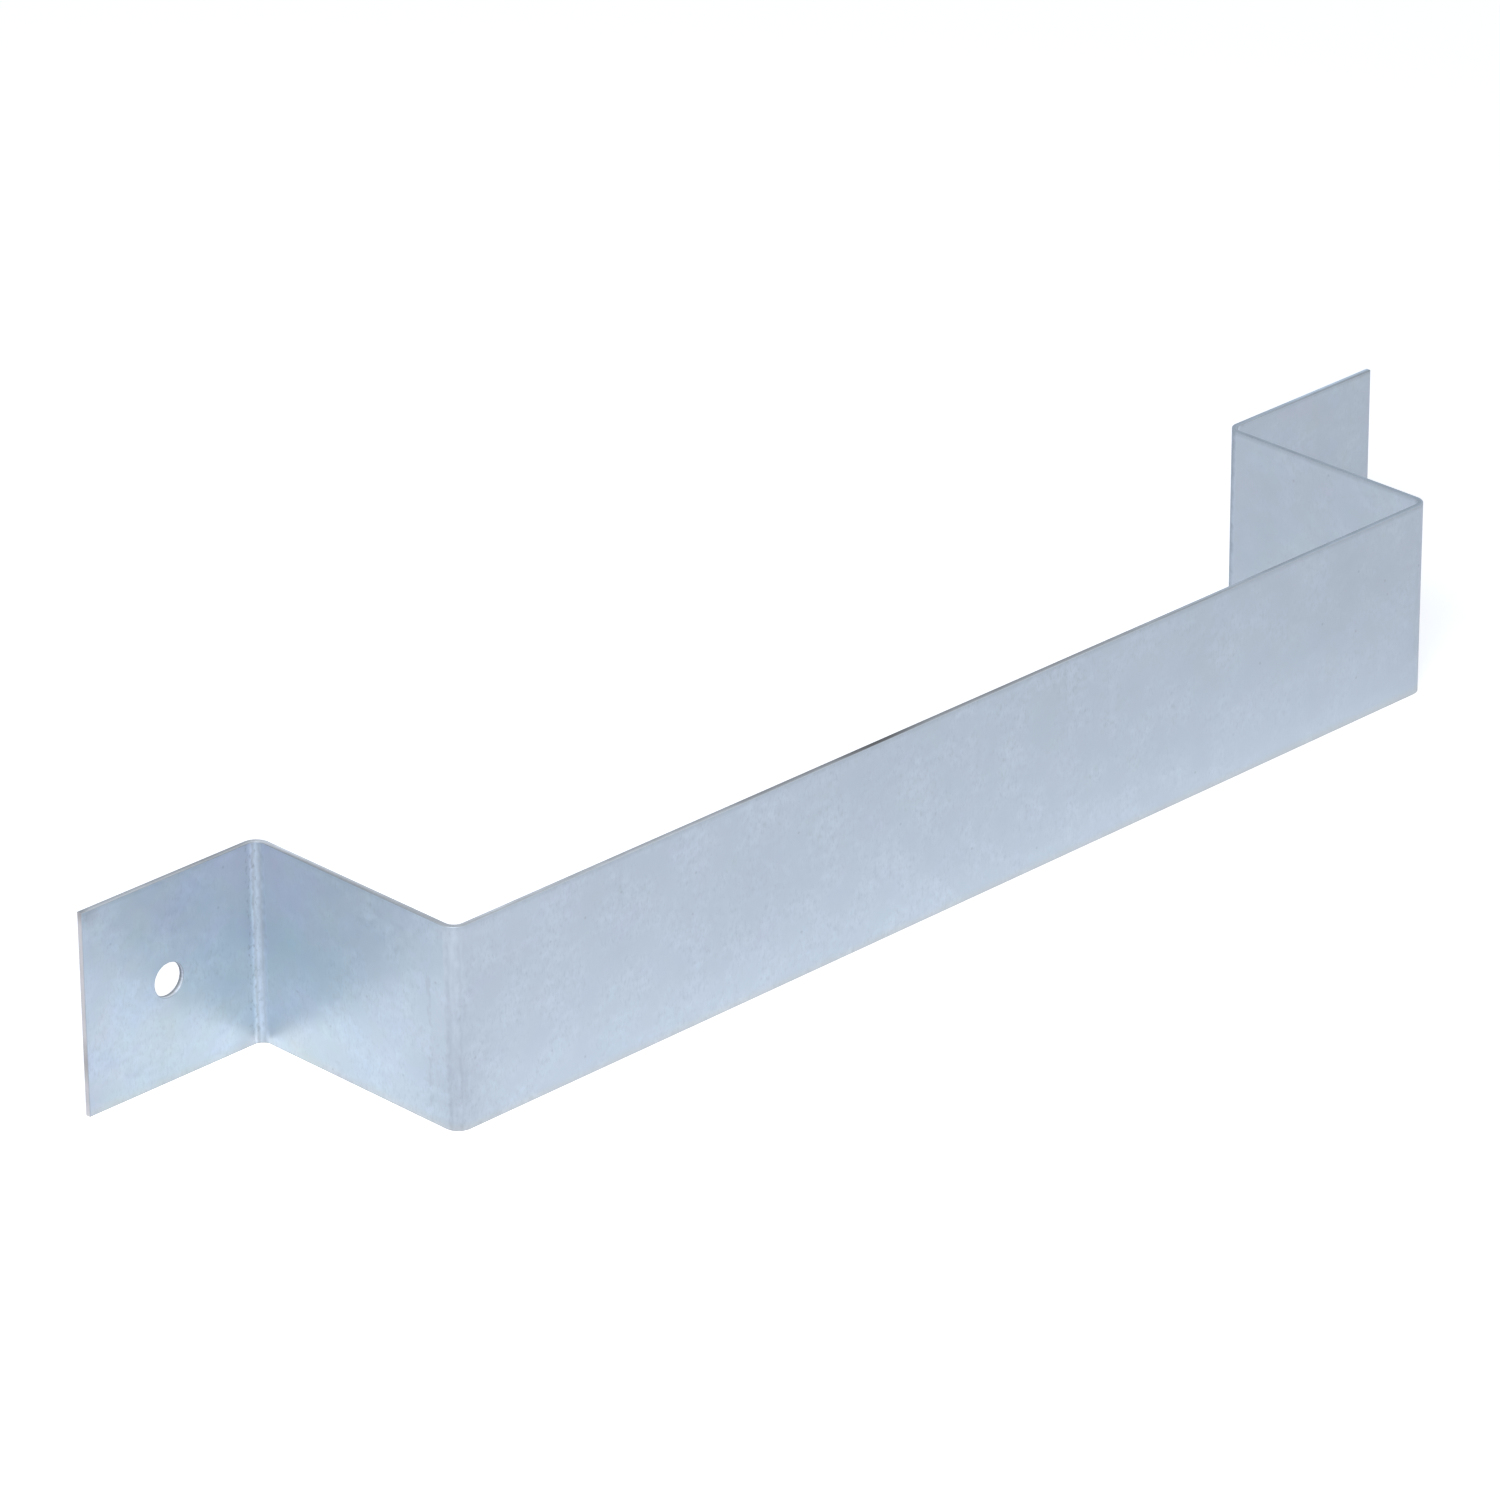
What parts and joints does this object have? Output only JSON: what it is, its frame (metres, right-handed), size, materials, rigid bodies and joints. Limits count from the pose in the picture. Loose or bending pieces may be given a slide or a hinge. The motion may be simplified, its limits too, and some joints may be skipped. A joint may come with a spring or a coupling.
{
  "type": "flat duct bracket",
  "caption": "Hat-shaped bracket of galvanised steel strip with square folds and a screw hole in each end flange, for strapping a flat rectangular duct to a wall or ceiling.",
  "frame": {"origin": "middle of the bracket's bounding box, at the lower long edge that it stands on", "axes": "+X along the web, +Y from the web towards the wall that the flanges lie on, +Z across the strip, up as it stands on its long edge"},
  "size_m": [0.2538, 0.039, 0.03],
  "materials": {
    "galvanised_steel": "satin zinc coating with a fine lengthwise and crosswise mottle"
  },
  "bodies": {
    "root": {"folded_strip": "galvanised_steel"}
  },
  "joints": []
}
